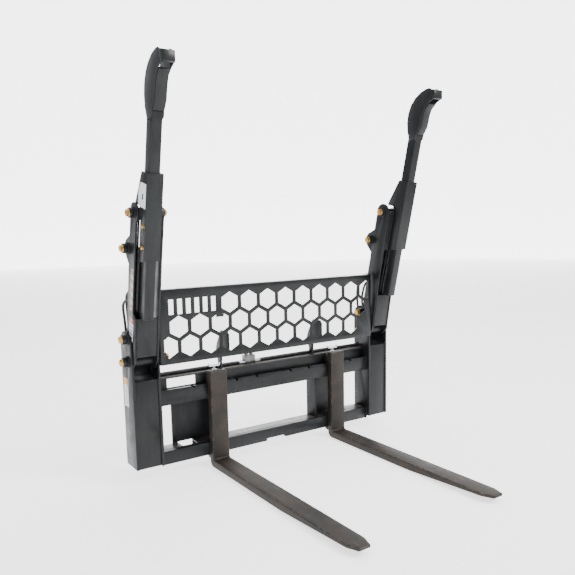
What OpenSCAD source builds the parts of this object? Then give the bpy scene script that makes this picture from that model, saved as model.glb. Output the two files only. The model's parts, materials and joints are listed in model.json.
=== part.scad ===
// Pallet fork attachment with two hydraulic grapple arms.
// X runs across the frame, -Y is the way the forks point, Z is up.
// The origin is the centre of the upper rail's front face; the modules measure Z from the floor
// under the forks, and seated() brings each piece down to the origin.

/* [Frame] */
// Clear distance between the two towers
tower_gap = 1428; // [1250:1:1750]
// Outside width of one tower
tower_w = 152; // [150:1:190]
// Front-to-back depth of a tower
tower_d = 147.5; // [140:0.5:180]
// Distance the tower stands forward of the fork rails
tower_lead = 29.5; // [20:0.5:40]
// Height of the tower feet above the floor
tower_foot = 79; // [70:1:100]
// Height of the tower front plate
tower_top = 545; // [520:1:560]
// Thickness of the tower and arm side plates
side_t = 9.5; // [8:0.5:11.5]

/* [Rails] */
// Height of the underside of the lower rail
rail_low = 63.5; // [60:0.5:80]
// Height over both rails, hook face to hook face
carriage_h = 407; // [380:1:420]
// Depth of the lower rail face
low_rail_h = 72; // [60:1:80]
// Depth of the upper rail face
up_rail_h = 82; // [70:1:90]
// Thickness of both rails
rail_t = 25; // [20:1:30]
// Depth of the shelf plate behind the lower rail
shelf_d = 81; // [76:1:84]
// Thickness of the shelf, web and top plates
sheet_t = 8; // [6:0.5:10]

/* [Quick attach] */
// Distance from the middle to the inner edge of an attach plate
attach_x0 = 318; // [300:1:340]
// Distance from the middle to the outer edge of an attach plate
attach_x1 = 606; // [570:1:615]
// Thickness of an attach plate
attach_t = 12; // [8:1:16]
// Width of a wedge pin hole
wedge_w = 91; // [80:1:100]

/* [Guard] */
// Height of the guard's bottom edge
guard_z0 = 617.5; // [600:0.5:630]
// Height of the guard's top edge
guard_z1 = 1010; // [980:1:1100]
// Thickness of the guard sheet
guard_t = 6; // [4:0.5:8]
// Distance across the flats of one hexagon
hex_af = 101; // [80:1:108]
// Spacing of the hexagons along a row
hex_pitch = 122; // [115:1:130]

/* [Forks] */
// Width of a fork
fork_w = 101.6; // [90:0.1:125]
// Thickness of a fork at the heel
fork_t = 42; // [35:1:50]
// Length of a fork blade in front of its shank
fork_l = 1219; // [900:1:1400]
// Height of a fork shank
shank_h = 545; // [535:1:550]
// Position of the left fork along the rails
left_fork_x = -382; // [-420:1:-360]
// Position of the right fork along the rails
right_fork_x = 447; // [420:1:480]

/* [Arms] */
// Forward lean of the open arms
arm_tilt = 13.7; // [8:0.1:18]
// Height of the arm pivot
pivot_z = 648; // [640:1:660]
// Radius of all the pivot pins
pin_r = 16; // [14:0.5:17]
// Height of the rod pin along the arm
rod_u = 768; // [750:1:780]
// Height of the sleeve's lower end along the arm
sleeve_u0 = 562; // [550:1:575]
// Height of the sleeve's upper end along the arm
sleeve_u1 = 972; // [940:1:990]
// Width of the extension tube
tube_w = 50.8; // [45:0.1:54]
// Front-to-back depth of the extension tube
tube_d = 63.5; // [50:0.1:66]
// Height of the extension tube's lower end along the arm
tube_u0 = 258; // [256:1:300]
// Height along the arm where the claw begins
claw_u = 1200; // [1150:1:1450]

/* [Cylinders] */
// Outside radius of a cylinder barrel
barrel_r = 25; // [23:0.5:30]
// Wall of a cylinder barrel
barrel_wall = 5; // [3.5:0.5:6]
// Radius of a piston rod
rod_r = 14.5; // [11:0.1:15]
// Length from the base pin to the end of the gland
gland_end = 483; // [470:1:490]
// Width of the base and rod eyes
eye_w = 44; // [36:1:46]

/* [Hoses] */
// Radius of a hydraulic hose
hose_r = 8; // [6:0.5:9]

/* [Hidden] */
$fn = 48;

paint = [0.20, 0.21, 0.22];
worn_steel = [0.31, 0.28, 0.25];
yellow_zinc = [0.80, 0.62, 0.25];
bright_zinc = [0.82, 0.82, 0.80];
chrome = [0.88, 0.88, 0.90];
rubber = [0.07, 0.07, 0.07];

// Fits and reliefs
fit = 0.05;          // radial clearance of a pin in its bore
side_gap = 1.5;      // free space beside a moving plate
slide_gap = 1;       // free space round the extension tube
hang_gap = 0.5;      // free space between a fork and the rails
side_space = 0.5;    // free space between a barrel and the arm's outer plate
over = 0.5;          // how far a cut passes through a face

// Tower and arm positions across the frame, right side
tower_x0 = tower_gap / 2;
tower_x1 = tower_x0 + tower_w;
tower_y0 = -tower_lead;
tower_y1 = tower_y0 + tower_d;
arm_x0 = tower_x0 + side_t + side_gap;
arm_x1 = tower_x1 - side_t - side_gap;
arm_in0 = arm_x0 + side_t;
arm_in1 = arm_x1 - side_t;

// Pivots: arm pivot, and the cylinder base pin above it
pivot_y = 22;
base_y = pivot_y - 7;
base_z = pivot_z + 119;
boss_r = 25;
head_r = 20;
head_l = 14;
outer_boss = 30;
inner_boss = 54;

// Ear outline
ear_r = 62;
ear_y = tower_y1 - ear_r - 1;
ear_z = base_z - 25;

// Rails
rail_top = rail_low + carriage_h;
up_rail_z = rail_top - up_rail_h;
low_rail_z1 = rail_low + low_rail_h;
web_y = rail_t + 20;
plate_top = rail_top + 60.5;
datum_z = up_rail_z + up_rail_h / 2;
notch_w = 14;
notch_h = 12;
notch_x = [left_fork_x - 135, left_fork_x, left_fork_x + 135, left_fork_x + 270,
           right_fork_x - 324, right_fork_x - 189, right_fork_x, right_fork_x + 135];
removal_x0 = -55;
removal_x1 = 77;
window_x0 = -650;
window_x1 = -482;
wedge_x0 = attach_x0 + 168;
attach_y = rail_t + shelf_d;
attach_top = rail_top - 22.5;

// Guard
guard_y = -47;
hex_x0 = 4;
hex_row = hex_pitch * sin(60);
hex_mid_z = (guard_z0 + guard_z1) / 2 - 2;
flange_d = 40;
slot_x1 = hex_x0 - 3.2 * hex_pitch;
slot_z = hex_mid_z + 66;

// Arm: u runs up the arm, v forward of the pivot line
rod_v = -15;
lobe_u = 576;
lobe_v = -86;
arm_boss_out = 26;
arm_boss_in = 20;
tube_v0 = 40.5;
tube_x = (arm_in1 + tower_x0 + 52) / 2;
sleeve_side = (arm_in1 - tower_x0 - 52 - tube_w - 2 * slide_gap) / 2;
sleeve_x0 = tower_x0 + 52;
sleeve_v1 = tube_v0 + tube_d + slide_gap + sheet_t;
jam_u = [sleeve_u0 + 61, sleeve_u0 + 163];
jam_v = sleeve_v1 - 23;
jam_r = 6;
claw_t = 6.4;

// Cylinder, from the base pin to the rod pin with the arm open
cyl_x = arm_in1 - barrel_r - side_space;
rod_y = pivot_y - rod_u * sin(arm_tilt) - rod_v * cos(arm_tilt);
rod_z = pivot_z + rod_u * cos(arm_tilt) - rod_v * sin(arm_tilt);
cyl_tilt = atan2(base_y - rod_y, rod_z - base_z);
cyl_len = norm([base_y - rod_y, rod_z - base_z]);
stroke = 135;
gland_l = 28;
bore_r = barrel_r - barrel_wall;
piston_l = 25;
port_z = 190;
piston_z = gland_end - gland_l - stroke - 2 - piston_l;

// Helpers
module seated() translate([0, 0, -datum_z]) children();

module left() { mirror([1, 0, 0]) children(); }

module both() { children(); left() children(); }

// Sheet standing in the YZ plane, from x0 to x1, with an outline of [y, z] points
module side_sheet(x0, x1, pts) {
    translate([x0, 0, 0]) rotate([90, 0, 90]) linear_extrude(x1 - x0) polygon(pts);
}

// Round bar along X
module cross_bar(x0, x1, y, z, r) {
    translate([x0, y, z]) rotate([0, 90, 0]) cylinder(h = x1 - x0, r = r);
}

module cross_ring(x0, x1, y, z, r, hole) {
    difference() {
        cross_bar(x0, x1, y, z, r);
        cross_bar(x0 - over, x1 + over, y, z, hole);
    }
}

// Points [u, v] of the arm turned into [y, z]
function uv(pts) = [for (p = pts) [-p[1], p[0]]];

module on_arm() { translate([0, pivot_y, pivot_z]) rotate([arm_tilt, 0, 0]) children(); }

module on_cylinder() { translate([cyl_x, base_y, base_z]) rotate([cyl_tilt, 0, 0]) children(); }

module box(x0, x1, y0, y1, z0, z1) {
    translate([x0, y0, z0]) cube([x1 - x0, y1 - y0, z1 - z0]);
}

// Hose of round section swept through a list of points
module hose(pts, r) {
    n = 12;
    last = len(pts) - 1;
    function along(i) = let (a = pts[max(0, i - 1)], b = pts[min(last, i + 1)]) (b - a) / norm(b - a);
    function side(i) = let (t = along(i), s = cross(t, [0.3, 0.2, 1])) s / norm(s);
    rings = [for (i = [0:last]) let (t = along(i), s = side(i), w = cross(t, s))
        for (k = [0:n - 1]) pts[i] + r * (cos(360 * k / n) * s + sin(360 * k / n) * w)];
    faces = [
        [for (k = [0:n - 1]) k],
        for (i = [0:last - 1], k = [0:n - 1])
            [i * n + k, (i + 1) * n + k, (i + 1) * n + (k + 1) % n, i * n + (k + 1) % n],
        [for (k = [n - 1:-1:0]) last * n + k]
    ];
    polyhedron(rings, faces);
}

// Smooth points through a hand-laid route
function bend(p, t) = let (s = len(p) - 1, i = min(floor(t * s), s - 1), f = t * s - i,
    a = p[max(i - 1, 0)], b = p[i], c = p[i + 1], d = p[min(i + 2, s)])
    0.5 * (2 * b + (c - a) * f + (2 * a - 5 * b + 4 * c - d) * f * f + (3 * b - a - 3 * c + d) * f * f * f);
function route(p, n) = [for (i = [0:n]) bend(p, i / n)];

// Towers
module ear_plate(x0) {
    difference() {
        union() {
            side_sheet(x0, x0 + side_t, [
                [tower_y0, tower_foot], [tower_y1, tower_foot], [tower_y1, ear_z],
                [ear_y, ear_z + ear_r], [ear_y - 54, ear_z + ear_r - 12], [tower_y0, ear_z + 18]]);
            cross_bar(x0, x0 + side_t, ear_y, ear_z, ear_r);
        }
        cross_bar(x0 - over, x0 + side_t + over, pivot_y, pivot_z, pin_r + fit);
        cross_bar(x0 - over, x0 + side_t + over, base_y, base_z, pin_r + fit);
    }
}

module tower_front() {
    front = tower_y0 + 4;
    side_sheet(tower_x0 + side_t, tower_x1 - side_t, [
        [front, tower_foot], [front + sheet_t, tower_foot], [front + sheet_t, tower_top - sheet_t],
        [front + 96, tower_top + 16], [front + 106, tower_top + 70], [front + 98, tower_top + 70],
        [front + 88, tower_top + 22], [front, tower_top]]);
}

module left_tower_outer_plate() color(paint) seated() left() ear_plate(tower_x1 - side_t);
module left_tower_inner_plate() color(paint) seated() left() inner_ear();
module left_tower_front_plate() color(paint) seated() left() tower_front();
module right_tower_outer_plate() color(paint) seated() ear_plate(tower_x1 - side_t);
module right_tower_inner_plate() color(paint) seated() inner_ear();
module right_tower_front_plate() color(paint) seated() tower_front();

// The inner plate also lets the cross hoses through
module inner_ear() {
    difference() {
        ear_plate(tower_x0);
        for (y = hose_y)
            cross_bar(tower_x0 - over, tower_x0 + side_t + over, y, hose_z, hose_r + 3);
    }
}

module boss_pair(y, z) {
    cross_ring(tower_x1, tower_x1 + outer_boss, y, z, boss_r, pin_r + fit);
    cross_ring(tower_x0 - inner_boss, tower_x0, y, z, boss_r, pin_r + fit);
}

module tower_bosses() color(paint) seated() both() {
    boss_pair(pivot_y, pivot_z);
    boss_pair(base_y, base_z);
}

module headed_pin(y, z) {
    x0 = tower_x0 - inner_boss;
    x1 = tower_x1 + outer_boss;
    cross_bar(x0 - over, x1 + over, y, z, pin_r);
    cross_bar(x0 - head_l, x0, y, z, head_r);
    cross_bar(x1, x1 + head_l, y, z, head_r);
}

module arm_pivot_pins() color(yellow_zinc) seated() both() headed_pin(pivot_y, pivot_z);
module cylinder_base_pins() color(yellow_zinc) seated() both() headed_pin(base_y, base_z);

// Rails and plates
module upper_rail() color(paint) seated() difference() {
    box(-tower_x0, tower_x0, 0, rail_t, up_rail_z, rail_top);
    for (x = notch_x)
        box(x - notch_w / 2, x + notch_w / 2, -over, rail_t + over, rail_top - notch_h, rail_top + over);
}

module lower_rail() color(paint) seated() difference() {
    box(-tower_x0, tower_x0, 0, rail_t, rail_low, low_rail_z1);
    box(removal_x0, removal_x1, -over, rail_t + over, rail_low - over, rail_low + notch_h + 2);
}

module shelf_plate() color(paint) seated() difference() {
    box(-tower_x0, tower_x0, rail_t, attach_y, low_rail_z1 - sheet_t, low_rail_z1);
    both() box(wedge_x0, wedge_x0 + wedge_w, rail_t + 14, attach_y + over,
               low_rail_z1 - sheet_t - over, low_rail_z1 + over);
}

module web_plate() color(paint) seated() difference() {
    union() {
        box(-tower_x0, tower_x0, web_y, web_y + sheet_t, up_rail_z, plate_top - sheet_t);
        box(-tower_x0, tower_x0, rail_t, web_y, up_rail_z, up_rail_z + sheet_t);
    }
    box(window_x0, window_x1, web_y - over, web_y + sheet_t + over, rail_top + 1, plate_top - sheet_t - 2);
}

module top_plate() color(paint) seated()
    box(-tower_x0, tower_x0, web_y, tower_y1, plate_top - sheet_t, plate_top);

module attach_plate() {
    lip = 45;
    difference() {
        union() {
            side_sheet(attach_x0, attach_x1, [
                [attach_y, rail_low + 10], [attach_y + attach_t, rail_low + 10],
                [attach_y + attach_t, attach_top - 1.4 * attach_t],
                [attach_y + attach_t + lip, attach_top - 1.4 * attach_t - lip],
                [attach_y + attach_t + lip, attach_top - lip],
                [attach_y + attach_t, attach_top], [attach_y, attach_top]]);
            side_sheet(attach_x0, attach_x0 + attach_t, [
                [rail_t, low_rail_z1], [attach_y, low_rail_z1], [attach_y, plate_top - sheet_t],
                [web_y + sheet_t, plate_top - sheet_t], [web_y + sheet_t, up_rail_z], [rail_t, up_rail_z]]);
        }
        box(wedge_x0, wedge_x0 + wedge_w, attach_y - over, attach_y + attach_t + over,
            rail_low + 38, low_rail_z1 + 4);
    }
}

module left_attach_plate() color(paint) seated() left() attach_plate();
module right_attach_plate() color(paint) seated() attach_plate();

// Guard
module hexagon(x, z) {
    translate([x, guard_y - over, z]) rotate([-90, 30, 0])
        cylinder(h = guard_t + 2 * over, r = hex_af / sqrt(3), $fn = 6);
}

module guard_panel() color(paint) seated() {
    margin = 22;
    difference() {
        box(-tower_x0, tower_x0, guard_y, guard_y + guard_t, guard_z0, guard_z1);
        intersection() {
            box(margin - tower_x0, tower_x0 - margin, guard_y - 2 * over, guard_y + guard_t + 2 * over,
                guard_z0 + margin, guard_z1 - margin);
            union() {
                difference() {
                    for (n = [-5:5]) hexagon(hex_x0 + n * hex_pitch, hex_mid_z);
                    box(slot_x1, slot_x1 + 46, guard_y - 2 * over, guard_y + guard_t + 2 * over,
                        slot_z - 36, slot_z + 50);
                }
                for (n = [-3:5]) hexagon(hex_x0 + (n + 0.5) * hex_pitch, hex_mid_z + hex_row);
                for (n = [-6:4]) hexagon(hex_x0 + (n + 0.5) * hex_pitch, hex_mid_z - hex_row);
            }
        }
        for (n = [0:5])
            box(slot_x1 - 28 - n * 49, slot_x1 - n * 49, guard_y - over, guard_y + guard_t + over,
                slot_z, slot_z + 80);
    }
    box(-tower_x0, tower_x0, guard_y + guard_t, guard_y + guard_t + flange_d, guard_z1 - guard_t, guard_z1);
    both() box(tower_x0 - guard_t, tower_x0, guard_y + guard_t, guard_y + guard_t + 36,
               guard_z0, ear_z - 10);
}

module guard_brackets() color(paint) seated() both()
    side_sheet(attach_x0 - 4, attach_x0 + 6, [
        [web_y, plate_top], [web_y + 34, plate_top], [web_y + 34, plate_top + 36],
        [web_y + 55, guard_z0 + 24], [web_y + 39, guard_z0 + 58], [web_y - 9, guard_z0 + 136],
        [guard_y + guard_t, guard_z0 + 136], [guard_y + guard_t, guard_z0 + 30],
        [web_y - 5, plate_top + 66]]);

// Hydraulics on the top plate
hose_y = [web_y + 44, web_y + 63];
hose_z = plate_top + hose_r;
block_x0 = -143;
block_x1 = -77;

module hose_manifold() color([0.30, 0.30, 0.31]) seated() {
    difference() {
        box(block_x0, block_x1, web_y + 34, web_y + 73, plate_top, plate_top + 46);
        for (s = [block_x0 - over, block_x1 - 16])
            for (y = hose_y)
                cross_bar(s, s + 16 + over, y, hose_z, hose_r + fit);
    }
    for (x = [block_x0 + 17, block_x1 - 17])
        translate([x, web_y + 53, plate_top + 46]) {
            cylinder(h = 9, r = 13, $fn = 6);
            cylinder(h = 24, r = 9);
        }
}

module cross_hoses() color(rubber) seated() {
    for (y = hose_y) {
        cross_bar(block_x1 - 16, tower_x0 + side_t + 4, y, hose_z, hose_r);
        cross_bar(-tower_x0 - side_t - 4, block_x0 + 16, y, hose_z, hose_r);
    }
}

// Forks
module fork(x) {
    back = -hang_gap;
    face = back - fork_t;
    tip = face - fork_l;
    heel = 34;
    arc = [for (a = [0:9:90]) [back - heel + heel * cos(a), heel - heel * sin(a)]];
    fillet = [for (a = [0:15:90]) [face - 12 + 12 * cos(a), fork_t + 12 - 12 * sin(a)]];
    toe = 62;
    translate([x, 0, 0]) intersection() {
        side_sheet(-fork_w / 2, fork_w / 2, concat(
            [[back, shank_h]], arc,
            [[face - 0.55 * fork_l, 0], [tip, fork_t - 14], [tip, fork_t]],
            [for (i = [len(fillet) - 1:-1:0]) fillet[i]], [[face, shank_h - 6], [face + 6, shank_h]]));
        translate([0, 0, -1]) linear_extrude(shank_h + 2) polygon([
            [-fork_w / 2, 1], [fork_w / 2, 1], [fork_w / 2, tip + toe], [fork_w / 2 - 20, tip],
            [20 - fork_w / 2, tip], [-fork_w / 2, tip + toe]]);
    }
}

// Hooks welded to the back of the shank, hanging on the rails
module hooks(x) {
    back = -hang_gap;
    lip = rail_t + 1;
    translate([x, 0, 0]) {
        difference() {
            side_sheet(-fork_w / 2 + 8, fork_w / 2 - 8, [
                [back, rail_top + hang_gap], [lip, rail_top + hang_gap], [lip, rail_top - 15],
                [lip + 14, rail_top - 15], [lip + 14, rail_top + 38], [lip - 2, rail_top + 56],
                [back, rail_top + 56]]);
            translate([0, rail_t / 2, rail_top - 1]) cylinder(h = 60, r = latch_r + fit);
        }
        side_sheet(-fork_w / 2 + 8, fork_w / 2 - 8, [
            [back, rail_low - 26], [lip + 4, rail_low - 26], [lip + 14, rail_low - 16],
            [lip + 14, rail_low + 12], [lip, rail_low + 12], [lip, rail_low - hang_gap],
            [back, rail_low - hang_gap]]);
    }
}

latch_r = 6;

// Latch pin, raised clear of the rail so that the fork can slide
module latch(x) {
    top = rail_top + 56 + notch_h;
    translate([x, rail_t / 2, 0]) {
        translate([0, 0, rail_top + 1.5]) cylinder(h = 92, r = latch_r);
        translate([0, 0, top]) cylinder(h = 6, r = 11);
        translate([-30, -4, top + 22]) cube([60, 8, 6]);
        for (s = [-1, 1])
            translate([s * 27, 0, top + 22]) rotate([0, s * 25, 0]) translate([-3, -4, 0]) cube([6, 8, 20]);
    }
}

module left_fork() color(worn_steel) seated() fork(left_fork_x);
module left_fork_hooks() color(worn_steel) seated() hooks(left_fork_x);
module left_fork_latch() color(bright_zinc) seated() latch(left_fork_x);
module right_fork() color(worn_steel) seated() fork(right_fork_x);
module right_fork_hooks() color(worn_steel) seated() hooks(right_fork_x);
module right_fork_latch() color(bright_zinc) seated() latch(right_fork_x);

// Front edges of the arm's side plates: the outer one is cut back beside the cylinder
inner_edge = [[rod_u - 220, 46], [rod_u - 4, 46]];
outer_edge = [[274, 13], [rod_u - 28, 13]];

// Arm side plates, with a notch that clears the cylinder base pin as the arm swings
module arm_plate(x0, front) on_arm() difference() {
    union() {
        side_sheet(x0, x0 + side_t, uv(concat([[-22, 42], [20, 66], [250, 54]], front, [
            [rod_u + 30, 24], [rod_u + 30, rod_v - 40], [rod_u - 46, -62], [lobe_u + 72, -62],
            [lobe_u + 34, lobe_v - 30], [lobe_u - 34, lobe_v - 30], [lobe_u - 74, -62], [150, -58],
            [20, -46]])));
        cross_bar(x0, x0 + side_t, 0, 0, 48);
        cross_bar(x0, x0 + side_t, -rod_v, rod_u, 50);
        cross_bar(x0, x0 + side_t, -lobe_v, lobe_u, 42);
    }
    cross_bar(x0 - over, x0 + side_t + over, 0, 0, pin_r + fit);
    cross_bar(x0 - over, x0 + side_t + over, -rod_v, rod_u, pin_r + fit);
    cross_bar(x0 - over, x0 + side_t + over, -lobe_v, lobe_u, pin_r + fit);
    base_pin_sweep(x0);
}

// Ring sector swept by the base pin, seen from the arm
module base_pin_sweep(x0) {
    reach = norm([base_y - pivot_y, base_z - pivot_z]);
    start = atan2(pivot_y - base_y, base_z - pivot_z) - arm_tilt;
    intersection() {
        cross_ring(x0 - over, x0 + side_t + over, 0, 0, reach + pin_r + 4, reach - pin_r - 4);
        side_sheet(x0 - 2 * over, x0 + side_t + 2 * over, [
            [0, 0], 200 * [-sin(start + 13), cos(start + 13)], [200, 200], [200, -120], [-10, -120]]);
    }
}

module front_plate() on_arm()
    side_sheet(arm_in0, arm_in1, uv([[44, 64.8], [250, 54], [250, 46], [44, 56.8]]));

module pivot_tube() on_arm() cross_ring(arm_in0, arm_in1, 0, 0, 30, pin_r + fit);

module arm_bosses() on_arm() {
    for (p = [[rod_u, rod_v], [lobe_u, lobe_v]]) {
        cross_ring(arm_x1, arm_x1 + arm_boss_out, -p[1], p[0], boss_r, pin_r + fit);
        cross_ring(arm_x0 - arm_boss_in, arm_x0, -p[1], p[0], boss_r, pin_r + fit);
    }
    cross_ring(arm_in0, cyl_x - eye_w / 2 - 2, -rod_v, rod_u, boss_r - 2, pin_r + fit);
}

// The ends of the rod pin and the lobe bolts
module pin_ends() on_arm() {
    for (p = [[rod_u, rod_v, cyl_x - eye_w / 2 - 3, cyl_x + eye_w / 2 + 3],
              [lobe_u, lobe_v, arm_in0 + 5, arm_in1 - 5]]) {
        cross_bar(p[3], arm_x1 + arm_boss_out + over, -p[1], p[0], pin_r);
        cross_bar(arm_x1 + arm_boss_out, arm_x1 + arm_boss_out + head_l, -p[1], p[0], head_r);
        cross_bar(arm_x0 - arm_boss_in - over, p[2], -p[1], p[0], pin_r);
        cross_bar(arm_x0 - arm_boss_in - head_l, arm_x0 - arm_boss_in, -p[1], p[0], head_r);
    }
}

// Sleeve: a box for the tube, a back plate and a lug joining the arm plates, two slanting gussets
module sleeve() on_arm() {
    outer = arm_in1 - 7;
    rear = tube_v0 - slide_gap - sheet_t;
    difference() {
        union() {
            side_sheet(sleeve_x0, arm_in1, uv([
                [sleeve_u0 - 24, tube_v0 - 2], [sleeve_u0, sleeve_v1], [sleeve_u1, sleeve_v1],
                [sleeve_u1, tube_v0], [rod_u + 54, rod_v - 7], [rod_u + 44, rod_v - 7],
                [rod_u + 44, rear], [sleeve_u0 - 24, rear]]));
            side_sheet(arm_in0, outer, uv([
                [sleeve_u0 - 17, tube_v0 - slide_gap], [rod_u + 12, tube_v0 - slide_gap],
                [rod_u + 12, rear], [sleeve_u0 - 17, rear]]));
        }
        side_sheet(tube_x - tube_w / 2 - slide_gap, tube_x + tube_w / 2 + slide_gap, uv([
            [sleeve_u0 - 40, tube_v0 - slide_gap], [sleeve_u1 + 1, tube_v0 - slide_gap],
            [sleeve_u1 + 1, tube_v0 + tube_d + slide_gap], [sleeve_u0 - 40, tube_v0 + tube_d + slide_gap]]));
        side_sheet(sleeve_x0 + sleeve_side, arm_in1 - sleeve_side, uv([
            [rod_u + 30, rod_v - 30], [rod_u + 30, rear], [sleeve_u1 + 1, rear],
            [sleeve_u1 + 1, rod_v - 30]]));
        side_sheet(outer, arm_in1 + over, uv([
            [sleeve_u0 - 40, rear - 1], [rod_u + 32, rear - 1], [rod_u + 32, sleeve_v1 - 35],
            [sleeve_u0 - 40, sleeve_v1 - 35]]));
        for (u = jam_u)
            cross_bar(tube_x, arm_in1 + over, -jam_v, u, jam_r + fit);
    }
    side_sheet(outer - 4, arm_in1, uv([
        [rod_u - 24, rear - 8], [rod_u + 32, rear - 8], [rod_u + 32, rear + 7], [rod_u - 24, rear + 7]]));
}

module extension_tube() on_arm() difference() {
    side_sheet(tube_x - tube_w / 2, tube_x + tube_w / 2, uv([
        [tube_u0, tube_v0], [claw_u + 46, tube_v0], [claw_u + 46, tube_v0 + tube_d],
        [tube_u0, tube_v0 + tube_d]]));
    side_sheet(tube_x - tube_w / 2 + 6, tube_x + tube_w / 2 - 6, uv([
        [tube_u0 - 1, tube_v0 + 6], [claw_u + 47, tube_v0 + 6], [claw_u + 47, tube_v0 + tube_d - 6],
        [tube_u0 - 1, tube_v0 + tube_d - 6]]));
}

// Bolts through the sleeve wall that jam the tube
module jam_bolts() on_arm() {
    for (u = jam_u) {
        cross_bar(tube_x + tube_w / 2 + fit, arm_in1 + over, -jam_v, u, jam_r);
        translate([arm_in1, -jam_v, u]) rotate([0, 90, 0]) cylinder(h = 8, r = 10.4, $fn = 6);
    }
}

// Claw outline, given from its own lower end
claw_back = [[0, 62], [50, 32], [100, 16], [150, 13], [200, 24], [240, 48], [275, 84], [297, 125],
             [303, 146]];
claw_front = [[225, 158], [195, 134], [160, 127], [93, 124], [46, 104], [20, 104]];

claw_end = [[298, 158], [246, 184]];

function lift(pts) = [for (p = pts) [p[0] + claw_u, p[1]]];

module claw_plates() on_arm() {
    edge = concat(claw_back, claw_end, claw_front);
    for (x = [tube_x - tube_w / 2 - claw_t, tube_x + tube_w / 2])
        side_sheet(x, x + claw_t, uv(lift(edge)));
    side_sheet(tube_x - tube_w / 2, tube_x + tube_w / 2, uv(lift([
        [46, 103], [93, 122], [160, 125], [195, 132], [225, 156], [218, 161], [190, 140], [158, 133],
        [92, 130], [46, 111]])));
}

module claw_tip() on_arm()
    side_sheet(tube_x - tube_w / 2 - claw_t, tube_x + tube_w / 2 + claw_t, uv(lift([
        claw_end[0], [297, 187], [252, 198], claw_end[1]])));

// Hydraulic cylinder
module barrel() on_cylinder() {
    difference() {
        union() {
            translate([0, 0, 22]) cylinder(h = gland_end - gland_l - 22, r = barrel_r);
            cross_bar(-eye_w / 2, eye_w / 2, 0, 0, 28);
            translate([0, barrel_r - 4, port_z]) rotate([-90, 0, 0]) cylinder(h = 16, r = 11);
            translate([-20, barrel_r - 10, port_z + 26]) cube([20, 22, 24]);
        }
        translate([0, 0, 48]) cylinder(h = gland_end, r = bore_r);
        cross_bar(-eye_w / 2 - over, eye_w / 2 + over, 0, 0, pin_r + fit);
    }
    translate([-10, barrel_r + 5, port_z + 49]) cylinder(h = gland_end - gland_l - port_z - 70, r = 5);
    translate([-10, barrel_r - 4, gland_end - gland_l - 24]) rotate([-90, 0, 0]) cylinder(h = 14, r = 8);
}

module gland() on_cylinder() difference() {
    translate([0, 0, gland_end - gland_l]) cylinder(h = gland_l, r = barrel_r);
    translate([0, 0, gland_end - gland_l - over]) cylinder(h = gland_l + 2 * over, r = rod_r + fit);
}

module rod() on_cylinder() {
    difference() {
        union() {
            translate([0, 0, piston_z + piston_l - over])
                cylinder(h = cyl_len - piston_z - piston_l - 20, r = rod_r);
            cross_bar(-eye_w / 2, eye_w / 2, 0, cyl_len, 26);
        }
        cross_bar(-eye_w / 2 - over, eye_w / 2 + over, 0, cyl_len, pin_r + fit);
    }
    translate([0, 0, piston_z]) cylinder(h = piston_l, r = bore_r - fit);
}

module eye_pin() on_cylinder() cross_bar(-eye_w / 2 - 1, eye_w / 2 + 1, 0, cyl_len, pin_r);

// A point of the open cylinder: across, backward and up along its axis from the base pin
function cyl_point(x, y, z) = [cyl_x + x, base_y + y * cos(cyl_tilt) - z * sin(cyl_tilt),
                               base_z + y * sin(cyl_tilt) + z * cos(cyl_tilt)];

// Hoses from the tower up and back, then forward to the cylinder ports
module arm_hoses() {
    start = tower_x0 + side_t + 6;
    port = barrel_r + 14;
    hose(route([[start, hose_y[0], hose_z], [start + 12, hose_y[0], hose_z],
        [start + 36, hose_y[0] + 3, hose_z + 20], [start + 66, hose_y[0] + 14, hose_z + 90],
        [start + 88, 146, hose_z + 200], [start + 92, 163, hose_z + 300], [cyl_x + 12, 138, base_z + 168],
        cyl_point(0, port + 36, port_z), cyl_point(0, port + 12, port_z), cyl_point(0, port, port_z)],
        33), hose_r - 1);
    hose(route([[start, hose_y[1], hose_z], [start + 12, hose_y[1], hose_z],
        [start + 32, hose_y[1] + 3, hose_z + 24], [start + 50, hose_y[1] + 22, hose_z + 100],
        [start + 64, 172, hose_z + 220], [start + 68, 184, hose_z + 350], [cyl_x - 14, 150, base_z + 214],
        cyl_point(-10, port + 36, port_z + 38), cyl_point(-10, port + 12, port_z + 38),
        cyl_point(-10, port, port_z + 38)], 33), hose_r - 1);
}

module left_arm_outer_plate() color(paint) seated() left() arm_plate(arm_x1 - side_t, outer_edge);
module left_arm_inner_plate() color(paint) seated() left() arm_plate(arm_x0, inner_edge);
module left_arm_front_plate() color(paint) seated() left() front_plate();
module left_pivot_tube() color(paint) seated() left() pivot_tube();
module left_arm_bosses() color(paint) seated() left() arm_bosses();
module left_arm_pin_ends() color(yellow_zinc) seated() left() pin_ends();
module left_sleeve() color(paint) seated() left() sleeve();
module left_extension_tube() color(paint) seated() left() extension_tube();
module left_claw_plates() color(paint) seated() left() claw_plates();
module left_claw_tip() color(paint) seated() left() claw_tip();
module left_jam_bolts() color(yellow_zinc) seated() left() jam_bolts();
module left_cylinder_barrel() color(paint) seated() left() barrel();
module left_cylinder_gland() color(paint) seated() left() gland();
module left_cylinder_rod() color(chrome) seated() left() rod();
module left_rod_eye_pin() color(yellow_zinc) seated() left() eye_pin();
module left_arm_hoses() color(rubber) seated() left() arm_hoses();
module right_arm_outer_plate() color(paint) seated() arm_plate(arm_x1 - side_t, outer_edge);
module right_arm_inner_plate() color(paint) seated() arm_plate(arm_x0, inner_edge);
module right_arm_front_plate() color(paint) seated() front_plate();
module right_pivot_tube() color(paint) seated() pivot_tube();
module right_arm_bosses() color(paint) seated() arm_bosses();
module right_arm_pin_ends() color(yellow_zinc) seated() pin_ends();
module right_sleeve() color(paint) seated() sleeve();
module right_extension_tube() color(paint) seated() extension_tube();
module right_claw_plates() color(paint) seated() claw_plates();
module right_claw_tip() color(paint) seated() claw_tip();
module right_jam_bolts() color(yellow_zinc) seated() jam_bolts();
module right_cylinder_barrel() color(paint) seated() barrel();
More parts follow.
